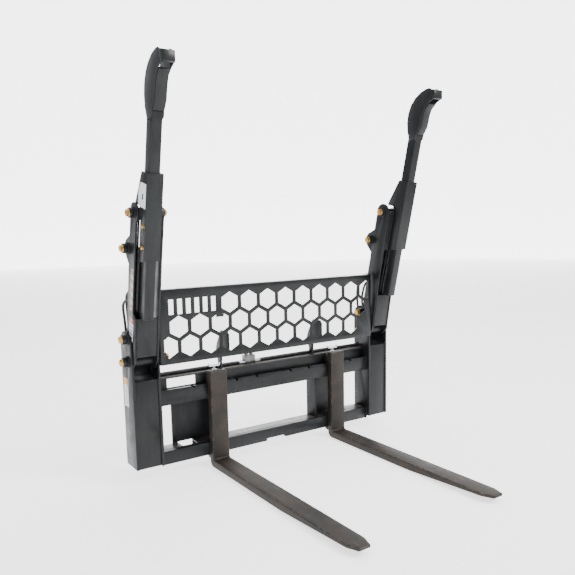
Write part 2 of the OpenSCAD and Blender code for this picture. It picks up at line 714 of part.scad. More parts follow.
module right_cylinder_gland() color(paint) seated() gland();
module right_cylinder_rod() color(chrome) seated() rod();
module right_rod_eye_pin() color(yellow_zinc) seated() eye_pin();
module right_arm_hoses() color(rubber) seated() arm_hoses();

left_tower_outer_plate();
left_tower_inner_plate();
left_tower_front_plate();
right_tower_outer_plate();
right_tower_inner_plate();
right_tower_front_plate();
tower_bosses();
arm_pivot_pins();
cylinder_base_pins();
upper_rail();
lower_rail();
shelf_plate();
web_plate();
top_plate();
left_attach_plate();
right_attach_plate();
guard_panel();
guard_brackets();
hose_manifold();
cross_hoses();
left_fork();
left_fork_hooks();
left_fork_latch();
right_fork();
right_fork_hooks();
right_fork_latch();
left_arm_outer_plate();
left_arm_inner_plate();
left_arm_front_plate();
left_pivot_tube();
left_arm_bosses();
left_arm_pin_ends();
left_sleeve();
left_extension_tube();
left_claw_plates();
left_claw_tip();
left_jam_bolts();
left_cylinder_barrel();
left_cylinder_gland();
left_cylinder_rod();
left_rod_eye_pin();
left_arm_hoses();
right_arm_outer_plate();
right_arm_inner_plate();
right_arm_front_plate();
right_pivot_tube();
right_arm_bosses();
right_arm_pin_ends();
right_sleeve();
right_extension_tube();
right_claw_plates();
right_claw_tip();
right_jam_bolts();
right_cylinder_barrel();
right_cylinder_gland();
right_cylinder_rod();
right_rod_eye_pin();
right_arm_hoses();
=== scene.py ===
import json
import math

import bmesh
import bpy
from mathutils import Matrix, Vector


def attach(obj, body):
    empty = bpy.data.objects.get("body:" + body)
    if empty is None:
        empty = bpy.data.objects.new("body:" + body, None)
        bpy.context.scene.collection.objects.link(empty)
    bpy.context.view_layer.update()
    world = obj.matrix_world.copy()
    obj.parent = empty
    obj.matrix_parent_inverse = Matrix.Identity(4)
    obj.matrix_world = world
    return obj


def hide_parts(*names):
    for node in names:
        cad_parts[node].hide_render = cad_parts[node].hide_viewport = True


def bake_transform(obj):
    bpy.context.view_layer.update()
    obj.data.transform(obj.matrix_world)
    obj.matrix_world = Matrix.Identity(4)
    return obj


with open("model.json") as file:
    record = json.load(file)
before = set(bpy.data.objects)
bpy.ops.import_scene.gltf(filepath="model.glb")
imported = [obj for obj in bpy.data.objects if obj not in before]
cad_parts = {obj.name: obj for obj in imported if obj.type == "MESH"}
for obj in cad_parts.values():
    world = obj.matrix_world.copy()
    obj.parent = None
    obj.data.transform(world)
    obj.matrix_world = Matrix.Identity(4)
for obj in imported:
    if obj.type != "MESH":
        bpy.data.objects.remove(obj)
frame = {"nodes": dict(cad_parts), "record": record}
CAD = frame["nodes"]
BODY = {n: b for b, ns in frame["record"]["behaviour"]["bodies"].items() for n in ns}
SLOT = {s["node"]: s["material_slot"] for s in frame["record"]["subparts"]}
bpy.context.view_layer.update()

MM = 0.001
SIDES = {"left": -1, "right": 1}

# ---------------------------------------------------------------- frame measures, millimetres
DATUM = 429.5                         # height of the origin above the floor
TOWER_X0, TOWER_X1 = 714, 866
PIVOT = (22, 648 - DATUM)
BASE = (15, 767 - DATUM)
TILT = math.radians(13.7)
ARM_X0, ARM_X1, PLATE = 725, 855, 9.5
ARM_BOSS_IN, ARM_BOSS_OUT = 20, 26    # bosses beyond the arm plates
TOWER_BOSS_IN, TOWER_BOSS_OUT = 54, 30
ROD_UV, LOBE_UV = (768, -15), (576, -86)
PIN_R, BOSS_WELD_R = 16, 26
TUBE_X, CYL_X = 805.75, 820
PORT = 37                             # port face from the cylinder's axis
PORTS = ((0, 190), (-10, 228))        # across and up the cylinder
JAM = ((623, 90), (725, 90))          # jam bolts, as (u, v) of the arm
JAM_R = 6
HOSE_Y, HOSE_Z = (89, 108), 539 - DATUM
BLOCK_X = (-143, -77)                 # ends of the manifold block


def arm_point(side, x, u, v):
    """A point of the open arm, u up the arm and v forward, in metres."""
    y = PIVOT[0] - u * math.sin(TILT) - v * math.cos(TILT)
    z = PIVOT[1] + u * math.cos(TILT) - v * math.sin(TILT)
    return Vector((side * x, y, z)) * MM


ROD = arm_point(1, 0, *ROD_UV) / MM
CYL_TILT = math.atan2(BASE[0] - ROD.y, ROD.z - BASE[1])


def cylinder_point(side, x, back, along):
    """A point of the open cylinder, measured from its base pin, in metres."""
    c, s = math.cos(CYL_TILT), math.sin(CYL_TILT)
    point = (side * (CYL_X + x), BASE[0] + back * c - along * s, BASE[1] + back * s + along * c)
    return Vector(point) * MM


# ---------------------------------------------------------------- shader trees
class Value:
    """A socket in a shader tree, with arithmetic."""

    def __init__(self, shader, socket):
        self.shader, self.socket = shader, socket

    def math(self, operation, *others):
        return self.shader.node("ShaderNodeMath", 0, {"operation": operation}, self, *others)

    def __add__(self, o): return self.math("ADD", o)
    def __radd__(self, o): return self.math("ADD", o)
    def __sub__(self, o): return self.math("SUBTRACT", o)
    def __rsub__(self, o): return (self * -1) + o
    def __mul__(self, o): return self.math("MULTIPLY", o)
    def __rmul__(self, o): return self.math("MULTIPLY", o)
    def __truediv__(self, o): return self.math("DIVIDE", o)
    def __gt__(self, o): return self.math("GREATER_THAN", o)
    def __lt__(self, o): return self.math("LESS_THAN", o)
    def __mod__(self, o): return self.math("FLOORED_MODULO", o)

    def ramp(self, low, high):
        """0 at low, 1 at high, smooth between."""
        smooth_step = {"interpolation_type": "SMOOTHSTEP"}
        return self.shader.node("ShaderNodeMapRange", 0, smooth_step, self, low, high, 0.0, 1.0)


class Shader:
    def __init__(self, name):
        self.material = bpy.data.materials.new(name)
        self.material.use_nodes = True
        self.tree = self.material.node_tree
        self.bsdf = self.tree.nodes["Principled BSDF"]
        self.point = self.node("ShaderNodeTexCoord", "Object", {})

    def put(self, socket, value):
        if isinstance(value, Value):
            self.tree.links.new(value.socket, socket)
        elif isinstance(value, tuple) and socket.type == "RGBA":
            socket.default_value = (*value, 1.0)
        else:
            socket.default_value = value

    def node(self, kind, output, settings, *args, **named):
        n = self.tree.nodes.new(kind)
        for key, value in settings.items():
            setattr(n, key, value)
        for socket, value in zip(n.inputs, args):
            self.put(socket, value)
        for key, value in named.items():
            self.put(n.inputs[key], value)
        return Value(self, n.outputs[output])

    def stretch(self, x, y, z):
        return self.node("ShaderNodeVectorMath", 0, {"operation": "MULTIPLY"}, self.point, (x, y, z))

    def noise(self, scale, detail=3.0, at=None):
        return self.node("ShaderNodeTexNoise", 0, {}, Vector=at or self.point, Scale=scale, Detail=detail)

    def axes(self):
        n = self.tree.nodes.new("ShaderNodeSeparateXYZ")
        self.put(n.inputs[0], self.point)
        return [Value(self, o) for o in n.outputs]

    def mix(self, factor, a, b):
        n = self.tree.nodes.new("ShaderNodeMix")
        n.data_type = "RGBA"
        by_id = {s.identifier: s for s in n.inputs}
        self.put(by_id["Factor_Float"], factor)
        self.put(by_id["A_Color"], a)
        self.put(by_id["B_Color"], b)
        return Value(self, next(o for o in n.outputs if o.identifier == "Result_Color"))

    def bump(self, height, strength, distance):
        return self.node("ShaderNodeBump", 0, {}, Height=height, Strength=strength, Distance=distance)

    def finish(self, **sockets):
        for key, value in sockets.items():
            self.put(self.bsdf.inputs[key.replace("_", " ")], value)
        return self.material


def shade(colour, factor):
    return tuple(c * factor for c in colour)


CHARCOAL = (0.0058, 0.0070, 0.0078)
DUST = (0.055, 0.046, 0.038)


def paint(name, colour=CHARCOAL, wear=0.0, dust=0.10, rough=0.30, labels=None):
    """Semi-gloss sprayed paint with orange peel, faint dust and rubbed spots; labels add printed stickers."""
    s = Shader(name)
    cloud = s.noise(2.4, 4.0)
    grime = s.noise(14.0, 6.0)
    run = s.noise(1.0, 5.0, s.stretch(38, 38, 3.2))
    peel = s.noise(420.0, 1.0)
    base = s.mix(cloud.ramp(0.3, 0.7), shade(colour, 0.7), shade(colour, 1.35))
    base = s.mix((grime * run).ramp(0.22, 0.42) * dust, base, DUST)
    chips = s.noise(150.0, 4.0).ramp(0.74 - 0.2 * wear, 0.80 - 0.2 * wear) * (0.15 + wear)
    base = s.mix(chips, base, (0.08, 0.075, 0.07))
    roughness = rough + cloud * 0.07 + grime.ramp(0.35, 0.75) * 0.14 + chips * 0.15
    if labels:
        base, roughness = labels(s, base, roughness)
    return s.finish(
        Base_Color=base, Roughness=roughness, Coat_Weight=0.06, Coat_Roughness=0.12, Specular_IOR_Level=0.22,
        Normal=s.bump(peel + grime * 0.6, 0.10, 0.0006))


def inside(value, low, high):
    return (value > low) * (value < high)


def arm_axes(s):
    """u up the arm and v forward of it, in millimetres, from the row frame's coordinates."""
    x, y, z = s.axes()
    y = y * 1000 - PIVOT[0]
    z = z * 1000 - PIVOT[1]
    c, n = math.cos(TILT), math.sin(TILT)
    return x * 1000, z * c - y * n, y * -c - z * n


def arm_labels(s, base, roughness):
    x, u, v = arm_axes(s)
    outer = x.math("ABSOLUTE") > ARM_X1 - 1
    strip = inside(u, 277, 490) * inside(v, -30, 8) * outer
    band = ((u + v * 0.55) % 22) < 11
    edge = inside(v, -27, 5)
    base = s.mix(strip, base, (0.02, 0.02, 0.025))
    base = s.mix(strip * band * edge, base, s.mix(((u % 44) > 22), (0.62, 0.60, 0.58), (0.50, 0.045, 0.04)))
    plate = inside(u, 116, 238) * inside(v, -24, 28) * outer
    rows = (u % 19) < 6
    base = s.mix(plate, base, (0.62, 0.64, 0.66))
    base = s.mix(plate * rows * inside(v, -18, 22), base, (0.06, 0.09, 0.22))
    base = s.mix(plate * inside(u, 214, 238), base, (0.45, 0.05, 0.04))
    return base, roughness - (strip + plate) * 0.12


def sleeve_labels(s, base, roughness):
    x, u, v = arm_axes(s)
    outer = x.math("ABSOLUTE") > 844.5
    area = inside(u, 808, 922) * inside(v, 12, 104) * outer
    base = s.mix(area, base, (0.72, 0.73, 0.75))
    corner = (u * 0.75 + (v * -1) * 0.9) > 655
    base = s.mix(area * corner, base, (0.56, 0.10, 0.05))
    mark = inside(u, 845, 872) * inside(v, 56, 74) * outer
    base = s.mix(mark, base, (0.05, 0.07, 0.16))
    return base, roughness - area * 0.12


def tower_labels(s, base, roughness):
    x, y, z = s.axes()
    z = z + DATUM * MM
    outer = x.math("ABSOLUTE") > (TOWER_X1 - 1) * MM
    area = inside(z, 0.404, 0.556) * inside(y, 0.043, 0.102) * outer
    base = s.mix(area, base, (0.70, 0.70, 0.68))
    base = s.mix(area * inside(z, 0.520, 0.556), base, (0.55, 0.26, 0.02))
    rows = ((z * 1000) % 13) < 4
    base = s.mix(area * rows * inside(z, 0.412, 0.512) * inside(y, 0.049, 0.096), base, (0.06, 0.06, 0.07))
    return base, roughness - area * 0.1


def fork_steel(name, wear=0.0):
    s = Shader(name)
    z = s.axes()[2]
    blotch = s.noise(6.0, 6.0)
    scrape = s.noise(1.0, 6.0, s.stretch(120, 5, 120))
    grain = s.noise(260.0, 3.0)
    base = s.mix(blotch.ramp(0.35, 0.68), (0.0125, 0.0105, 0.0085), (0.027, 0.0215, 0.0165))
    rust = (s.noise(11.0, 8.0) + scrape * 0.4).ramp(0.66, 0.84)
    base = s.mix(rust * 0.35, base, (0.045, 0.024, 0.014))
    blade_top = inside(z, 0.035 - DATUM * MM, 0.046 - DATUM * MM)
    bare = (scrape.ramp(0.60, 0.72) * blade_top * 0.5) + wear * s.noise(45.0, 3.0).ramp(0.45, 0.65) * 0.7
    base = s.mix(bare, base, (0.09, 0.08, 0.07))
    return s.finish(
        Base_Color=base, Roughness=0.46 + blotch * 0.2 - bare * 0.12, Metallic=0.1 + bare * 0.5,
        Specular_IOR_Level=0.3, Normal=s.bump(grain + scrape * 0.6 + blotch, 0.25, 0.0009))


def plated(name, colour, tint, rough):
    s = Shader(name)
    cloud = s.noise(55.0, 3.0)
    fine = s.noise(700.0, 2.0)
    base = s.mix(cloud.ramp(0.35, 0.7), colour, tint)
    base = s.mix(s.noise(28.0, 5.0).ramp(0.6, 0.72) * 0.4, base, (0.10, 0.08, 0.06))
    return s.finish(Base_Color=base, Metallic=1.0, Roughness=rough + fine * 0.14,
                    Normal=s.bump(fine, 0.12, 0.0003))


def chrome():
    s = Shader("hard_chrome")
    ring = s.noise(1.0, 2.0, s.stretch(60, 60, 900))
    base = s.mix(s.noise(20.0, 3.0), (0.80, 0.81, 0.83), (0.90, 0.90, 0.91))
    return s.finish(Base_Color=base, Metallic=1.0, Roughness=0.05 + ring * 0.06, Normal=s.bump(ring, 0.03, 0.0002))


def rubber():
    s = Shader("hose_cover")
    wrap = s.noise(1.0, 2.0, s.stretch(900, 900, 900))
    base = s.mix(s.noise(18.0, 4.0).ramp(0.45, 0.75) * 0.5, (0.005, 0.005, 0.0055), (0.022, 0.020, 0.019))
    return s.finish(Base_Color=base, Roughness=0.48 + s.noise(30.0) * 0.2, Normal=s.bump(wrap, 0.3, 0.0005))


def floor_paper():
    """Pale paper that glows a little, so that it stays white under the object."""
    s = Shader("studio_floor")
    base = s.mix(s.noise(0.8, 4.0), (0.86, 0.86, 0.86), (0.91, 0.91, 0.91))
    return s.finish(Base_Color=base, Roughness=0.75 + s.noise(6.0) * 0.1,
                    Emission_Color=(1, 1, 1), Emission_Strength=1.6)


def backdrop():
    s = Shader("studio_backdrop")
    return s.finish(Base_Color=(0.9, 0.9, 0.9), Roughness=0.9, Emission_Color=(1, 1, 1), Emission_Strength=3.2)


PAINT = paint("charcoal_paint")
# The paint's rounded edges are a 1.8 times lighter copy with more chips: partly wear, partly a painted highlight
# along the edges.
PAINT_WORN_HIGHLIT_EDGE = paint("charcoal_paint_worn_highlit_edge", shade(CHARCOAL, 1.8), wear=0.35)
ARM_PAINT = paint("arm_paint", labels=arm_labels)
SLEEVE_PAINT = paint("sleeve_paint", labels=sleeve_labels)
TOWER_PAINT = paint("tower_paint", labels=tower_labels)
# The shelf and top plate are painted a light tan: heavy dust, and a painted reflection of the bright sky on these
# upward faces.
SHELF_DUST_AND_SHEEN_PAINT = paint("shelf_dust_and_sheen_paint", (0.050, 0.046, 0.040), dust=0.8)
# Weld beads wear the frame's own paint, here 1.6 times lighter: a painted highlight on the beads.
WELD_PAINT_HIGHLIT = paint("weld_paint_highlit", shade(CHARCOAL, 1.6), rough=0.24)
BLACK = paint("cylinder_black", (0.0045, 0.0045, 0.005), rough=0.2)
FORK = fork_steel("fork_steel")
FORK_EDGE = fork_steel("fork_edge", wear=0.8)
YELLOW = plated("yellow_zinc", (0.50, 0.33, 0.07), (0.52, 0.25, 0.09), 0.22)
BRIGHT = plated("bright_zinc", (0.72, 0.73, 0.74), (0.60, 0.63, 0.68), 0.24)
STEEL = plated("dull_steel", (0.16, 0.16, 0.165), (0.22, 0.21, 0.20), 0.36)
CHROME = chrome()
RUBBER = rubber()

FINISH = {
    "frame_paint": (PAINT, PAINT_WORN_HIGHLIT_EDGE), "arm_paint": (PAINT, PAINT_WORN_HIGHLIT_EDGE), "cylinder_paint": (BLACK, BLACK),
    "fork_steel": (FORK, FORK_EDGE), "yellow_zinc": (YELLOW, YELLOW), "bright_zinc": (BRIGHT, BRIGHT),
    "chrome_rod": (CHROME, CHROME), "hose_rubber": (RUBBER, RUBBER), "manifold_steel": (STEEL, STEEL),
}
for node, cad in CAD.items():
    cad.data.materials.clear()
    cad.data.materials.append(FINISH[SLOT[node]][0])


# ---------------------------------------------------------------- meshes
def new_object(name, mesh):
    o = bpy.data.objects.new(name, mesh)
    bpy.context.scene.collection.objects.link(o)
    return o


def evaluate(o):
    """Bake the object's modifiers into its own mesh."""
    depsgraph = bpy.context.evaluated_depsgraph_get()
    mesh = bpy.data.meshes.new_from_object(o.evaluated_get(depsgraph))
    o.modifiers.clear()
    o.data = mesh
    return o


def smooth(o, degrees=34):
    o.data.shade_smooth()
    o.data.set_sharp_from_angle(angle=math.radians(degrees))
    return o


def refine(node, width=1.2, segments=2, face=None):
    """A finished copy of a CAD node with its sharp edges rounded, standing for it."""
    mesh = CAD[node].data.copy()
    face_material, edge_material = FINISH[SLOT[node]]
    mesh.materials.clear()
    mesh.materials.append(face or face_material)
    mesh.materials.append(edge_material)
    bm = bmesh.new()
    bm.from_mesh(mesh)
    bmesh.ops.remove_doubles(bm, verts=bm.verts, dist=1e-5)
    bmesh.ops.dissolve_limit(bm, angle_limit=math.radians(0.6), verts=bm.verts, edges=bm.edges)
    bm.to_mesh(mesh)
    bm.free()
    o = new_object(node + "_finished", mesh)
    bevel = o.modifiers.new("edge", "BEVEL")
    bevel.width = width * MM
    bevel.segments = segments
    bevel.limit_method = "ANGLE"
    bevel.angle_limit = math.radians(35)
    # Bevel faces take the second finish; on paint that is a lighter worn copy, a painted highlight along with the
    # wear.
    bevel.material = 1
    bevel.use_clamp_overlap = True
    smooth(evaluate(o))
    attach(o, BODY[node])
    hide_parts(node)
    return o


def piece(name, body, material, build):
    """A mesh piece filled by build(bm), riding with a body."""
    bm = bmesh.new()
    build(bm)
    mesh = bpy.data.meshes.new(name)
    bm.to_mesh(mesh)
    bm.free()
    mesh.materials.append(material)
    o = smooth(new_object(name, mesh))
    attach(o, body)
    return o


def bar(bm, a, b, radii, sides=32):
    """A turned bar from a to b in metres; radii is one number or a list of (fraction along, radius) in mm."""
    if not isinstance(radii, list):
        radii = [(0, radii), (1, radii)]
    axis = (b - a)
    turn = axis.to_track_quat("Z", "Y").to_matrix()
    step = math.tau / sides
    rings = []
    for t, r in radii:
        rings.append([bm.verts.new(a + axis * t + turn @ Vector((math.cos(k * step), math.sin(k * step), 0)) * r * MM)
                      for k in range(sides)])
    for low, high in zip(rings, rings[1:]):
        for k in range(sides):
            bm.faces.new((low[k], low[(k + 1) % sides], high[(k + 1) % sides], high[k]))
    bm.faces.new(list(reversed(rings[0])))
    bm.faces.new(rings[-1])


# ---------------------------------------------------------------- geometry node trees
class Tree:
    """A Geometry Nodes tree with named inputs."""

    def __init__(self, name, **inputs):
        self.group = bpy.data.node_groups.new(name, "GeometryNodeTree")
        face = self.group.interface
        face.new_socket("Geometry", in_out="INPUT", socket_type="NodeSocketGeometry")
        for key, value in inputs.items():
            kind = "NodeSocketInt" if isinstance(value, int) else "NodeSocketFloat"
            if key == "Material":
                kind = "NodeSocketMaterial"
            socket = face.new_socket(key, in_out="INPUT", socket_type=kind)
            if key != "Material":
                socket.default_value = value
        face.new_socket("Geometry", in_out="OUTPUT", socket_type="NodeSocketGeometry")
        self.source = self.group.nodes.new("NodeGroupInput")
        self.result = self.group.nodes.new("NodeGroupOutput")

    def __getitem__(self, key):
        return self.source.outputs[key]

    def node(self, kind, settings=None, **inputs):
        n = self.group.nodes.new(kind)
        for key, value in (settings or {}).items():
            setattr(n, key, value)
        for key, value in inputs.items():
            socket = n.inputs[key.replace("_", " ")]
            if isinstance(value, bpy.types.NodeSocket):
                self.group.links.new(value, socket)
            else:
                socket.default_value = value
        return n

    def finish(self, geometry):
        real = self.node("GeometryNodeRealizeInstances", Geometry=geometry)
        coat = self.node("GeometryNodeSetMaterial", Geometry=real.outputs[0], Material=self["Material"])
        self.group.links.new(coat.outputs[0], self.result.inputs[0])
        return self.group


def grow(name, tree, paths, body, slot_name, **values):
    """Run a tree over paths of points, and keep the plain mesh."""
    mesh = bpy.data.meshes.new(name)
    points, edges = [], []
    for path in paths:
        first = len(points)
        points += [tuple(p) for p in path]
        edges += [(first + k, first + k + 1) for k in range(len(path) - 1)]
    mesh.from_pydata(points, edges, [])
    o = new_object(name, mesh)
    modifier = o.modifiers.new("tree", "NODES")
    modifier.node_group = tree
    for item in tree.interface.items_tree:
        if item.in_out == "INPUT" and item.name in values:
            modifier[item.identifier] = values[item.name]
    smooth(evaluate(o), 40)
    if body:
        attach(o, body)
    return o


def weld_tree():
    t = Tree("weld bead", Radius=0.004, Spacing=0.0042, Seed=3, Material=None)
    curve = t.node("GeometryNodeMeshToCurve", Mesh=t["Geometry"])
    even = t.node("GeometryNodeResampleCurve", {"mode": "LENGTH"}, Curve=curve.outputs[0], Length=t["Spacing"])
    drop = t.node("GeometryNodeMeshUVSphere", Segments=9, Rings=5, Radius=t["Radius"])
    flat = t.node("GeometryNodeTransform", Geometry=drop.outputs[0], Scale=(1.0, 1.0, 0.85))
    tangent = t.node("GeometryNodeInputTangent")
    aim = t.node("FunctionNodeAlignRotationToVector", {"axis": "Z"}, Vector=tangent.outputs[0])
    size = t.node("FunctionNodeRandomValue", {"data_type": "FLOAT"}, Seed=t["Seed"])
    size.inputs[2].default_value, size.inputs[3].default_value = 0.86, 1.14
    copies = t.node("GeometryNodeInstanceOnPoints", Points=even.outputs[0], Instance=flat.outputs[0],
                    Rotation=aim.outputs[0])
    t.group.links.new(size.outputs[1], copies.inputs["Scale"])
    return t.finish(copies.outputs[0])


def tube_tree():
    t = Tree("tube on a path", Radius=0.008, Sides=16, Material=None)
    curve = t.node("GeometryNodeMeshToCurve", Mesh=t["Geometry"])
    ring = t.node("GeometryNodeCurvePrimitiveCircle", Resolution=t["Sides"], Radius=t["Radius"])
    skin = t.node("GeometryNodeCurveToMesh", Curve=curve.outputs[0], Profile_Curve=ring.outputs[0],
                  Fill_Caps=True)
    return t.finish(skin.outputs[0])


def bolt_tree():
    """Hex head on a washer at every point, facing along X by the sign of Side."""
    t = Tree("bolt heads", Flats=0.015, Height=0.011, Washer=0.0195, Side=1.0, Material=None)

    def times(a, factor):
        n = t.group.nodes.new("ShaderNodeMath")
        n.operation = "MULTIPLY"
        t.group.links.new(a, n.inputs[0])
        n.inputs[1].default_value = factor
        return n.outputs[0]

    corner = times(t["Flats"], 2 / math.sqrt(3))
    washer = t.node("GeometryNodeMeshCone", Vertices=40, Radius_Top=times(t["Washer"], 0.94),
                    Radius_Bottom=t["Washer"], Depth=0.003)
    prism = t.node("GeometryNodeMeshCone", Vertices=6, Radius_Top=corner, Radius_Bottom=corner,
                   Depth=times(t["Height"], 0.8))
    prism_up = t.node("GeometryNodeTransform", Geometry=prism.outputs[0], Translation=(0, 0, 0.003))
    crown = t.node("GeometryNodeMeshCone", Vertices=6, Radius_Top=times(corner, 0.84), Radius_Bottom=corner,
                   Depth=times(t["Height"], 0.2))
    lift = t.group.nodes.new("ShaderNodeCombineXYZ")
    lift_z = t.group.nodes.new("ShaderNodeMath")
    lift_z.operation = "MULTIPLY_ADD"
    t.group.links.new(t["Height"], lift_z.inputs[0])
    lift_z.inputs[1].default_value, lift_z.inputs[2].default_value = 0.8, 0.003
    t.group.links.new(lift_z.outputs[0], lift.inputs[2])
    crown_up = t.node("GeometryNodeTransform", Geometry=crown.outputs[0], Translation=lift.outputs[0])
    head = t.group.nodes.new("GeometryNodeJoinGeometry")
    for part in (washer, prism_up, crown_up):
        t.group.links.new(part.outputs[0], head.inputs[0])
    turn = t.group.nodes.new("ShaderNodeCombineXYZ")
    t.group.links.new(times(t["Side"], math.pi / 2), turn.inputs[1])
    copies = t.node("GeometryNodeInstanceOnPoints", Points=t["Geometry"], Instance=head.outputs[0],
                    Rotation=turn.outputs[0])
    return t.finish(copies.outputs[0])


WELD, TUBE, BOLT = weld_tree(), tube_tree(), bolt_tree()


def arc_points(centre_x, y, z, r, steps=40):
    """A ring about X; y and z are in the row frame."""
    return [Vector((centre_x, y + r * math.cos(k * math.tau / steps), z + r * math.sin(k * math.tau / steps))) * MM
            for k in range(steps + 1)]


def flip(side, path):
    """Points on one side, given with Z from the floor, in metres."""
    return [Vector((side * p[0], p[1], p[2] - DATUM)) * MM for p in path]


# ---------------------------------------------------------------- finished CAD pieces
FACE = {}
for d in SIDES:
    FACE[d + "_arm_outer_plate"] = ARM_PAINT
    FACE[d + "_sleeve"] = SLEEVE_PAINT
    FACE[d + "_tower_outer_plate"] = TOWER_PAINT
# Upward shelf faces take the tan finish: dust and a painted sky reflection.
FACE["shelf_plate"] = FACE["top_plate"] = SHELF_DUST_AND_SHEEN_PAINT
EDGE = {"fork": 4.0, "claw_plates": 1.0, "extension_tube": 5.0, "sleeve": 1.5, "guard_panel": 1.0}
REBUILT = ("arm_pivot_pins", "cylinder_base_pins", "arm_pin_ends", "jam_bolts", "cross_hoses", "arm_hoses")

for node in CAD:
    plain = node.split("_", 1)[1] if node.split("_")[0] in SIDES else node
    if plain in REBUILT:
        continue
    width = EDGE.get(plain, 1.2)
    refine(node, width, 3 if width > 3 else 2, FACE.get(node))

# ---------------------------------------------------------------- pins and bolts
for label, (y, z), body_name, node in (
        ("arm_pivot", PIVOT, "frame", "arm_pivot_pins"), ("cylinder_base", BASE, "frame", "cylinder_base_pins")):
    ends = (TOWER_X0 - TOWER_BOSS_IN, TOWER_X1 + TOWER_BOSS_OUT)

    def shafts(bm, y=y, z=z):
        for s in SIDES.values():
            bar(bm, Vector((s * ends[0], y, z)) * MM, Vector((s * ends[1], y, z)) * MM, PIN_R)

    shaft = piece(label + "_shafts", body_name, YELLOW, shafts)
    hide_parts(node)
    for name, s in SIDES.items():
        for word, x, out in (("outer", ends[1], s), ("inner", ends[0], -s)):
            grow(f"{name}_{label}_{word}_head", BOLT, [[Vector((s * x, y, z)) * MM]], body_name, "yellow_zinc",
                 Side=float(out), Material=YELLOW)

for name, s in SIDES.items():
    body_name = name + "_arm"

    def stubs(bm, s=s):
        for uv, near, far in ((ROD_UV, CYL_X - 25, CYL_X + 25), (LOBE_UV, ARM_X0 + PLATE + 5, ARM_X1 - PLATE - 5)):
            bar(bm, arm_point(s, ARM_X0 - ARM_BOSS_IN, *uv), arm_point(s, near, *uv), PIN_R)
            bar(bm, arm_point(s, far, *uv), arm_point(s, ARM_X1 + ARM_BOSS_OUT, *uv), PIN_R)

    stub = piece(name + "_arm_pin_stubs", body_name, YELLOW, stubs)
    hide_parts(name + "_arm_pin_ends")
    for word, uv in (("rod", ROD_UV), ("lobe", LOBE_UV)):
        for where, x, out in (("outer", ARM_X1 + ARM_BOSS_OUT, s), ("inner", ARM_X0 - ARM_BOSS_IN, -s)):
            grow(f"{name}_{word}_{where}_head", BOLT, [[arm_point(s, x, *uv)]], body_name, "yellow_zinc",
                 Side=float(out), Material=YELLOW)

    def jam(bm, s=s):
        for uv in JAM:
            bar(bm, arm_point(s, TUBE_X + 25.5, *uv), arm_point(s, 846, *uv), JAM_R)

    bolt = piece(name + "_jam_bolt_shanks", body_name, YELLOW, jam)
    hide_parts(name + "_jam_bolts")
    for k, uv in enumerate(JAM, 1):
        grow(f"{name}_jam_bolt_head_{k}", BOLT, [[arm_point(s, ARM_X1 - PLATE, *uv)]], body_name, "yellow_zinc",
             Side=float(s), Flats=0.009, Height=0.0055, Washer=0.0102, Material=YELLOW)

# ---------------------------------------------------------------- weld beads
frame_welds, arm_welds, claw_welds = [], {}, {}
for name, s in SIDES.items():
    for x in (TOWER_X0 + PLATE + 1.5, TOWER_X1 - PLATE - 1.5):    # both edges of the tower front
        frame_welds.append(flip(s, [(x, -26, 82), (x, -26, 543), (x, -22, 549), (x, 60, 569), (x, 71, 612)]))
    for z0, z1 in ((388.5, 470.5), (63.5, 135.5)):                # rail ends against the tower
        frame_welds.append(flip(s, [(713, -1, z0), (713, -1, z1)]))
    frame_welds.append(flip(s, [(713, 0, 471.5), (713, 24, 471.5)]))
    frame_welds.append(flip(s, [(713, 46, 532), (713, 80, 532)]))
    for z in (640, 715):                                          # guard flange
        frame_welds.append(flip(s, [(713.5, -36, z), (713.5, -36, z + 34)]))
    for x in (313.5, 324.5):                                      # both sides of a guard bracket
        frame_welds.append(flip(s, [(x, 46, 532), (x, 78, 532)]))
        frame_welds.append(flip(s, [(x, -40.5, 656), (x, -40.5, 738)]))
    for y, z in (PIVOT, BASE):
        frame_welds += [arc_points(s * x, y, z, BOSS_WELD_R) for x in (TOWER_X1 + 1, TOWER_X0 - 1)]
    # attach plate against the shelf, beside the wedge pocket, and against its rib
    frame_welds += [flip(s, [(a, 105, 136.5), (b, 105, 136.5)]) for a, b in ((319, 482), (581, 605))]
    frame_welds.append(flip(s, [(331, 105, 140), (331, 105, 440)]))
    beads = []
    for x in (ARM_X0 + PLATE, ARM_X1 - PLATE):                    # both edges of the front plate
        beads.append([arm_point(s, x, 46, 65.3), arm_point(s, x, 248, 54.5)])
    # sleeve against its outer plate's lug, the inner plate and its own back plate
    beads.append([arm_point(s, ARM_X1 - PLATE - 1, 746, 22), arm_point(s, ARM_X1 - PLATE - 1, 798, 22)])
    beads.append([arm_point(s, ARM_X0 + PLATE, 549, 41), arm_point(s, ARM_X0 + PLATE, 776, 41)])
    beads.append([arm_point(s, 765, 548, 40.5), arm_point(s, 765, 776, 40.5)])
    for u, v in (ROD_UV, LOBE_UV):
        c = arm_point(s, 0, u, v) / MM
        beads += [arc_points(s * x, c.y, c.z, BOSS_WELD_R) for x in (ARM_X1 + 1, ARM_X0 - 1)]
    arm_welds[name] = beads
    claw_welds[name] = [[arm_point(s, x, 1201, 63), arm_point(s, x, 1200, 82), arm_point(s, x, 1220, 103)]
                        for x in (TUBE_X - 26.5, TUBE_X + 26.5)]
grow("frame_weld_beads", WELD, frame_welds, "frame", "frame_paint", Material=WELD_PAINT_HIGHLIT,
     Radius=0.0052, Spacing=0.0052)
for name in SIDES:
    grow(name + "_arm_weld_beads", WELD, arm_welds[name], name + "_arm", "arm_paint", Material=WELD_PAINT_HIGHLIT,
         Radius=0.004, Spacing=0.0045)
    grow(name + "_claw_weld_beads", WELD, claw_welds[name], name + "_extension", "arm_paint", Material=WELD_PAINT_HIGHLIT,
         Radius=0.0035, Spacing=0.004)


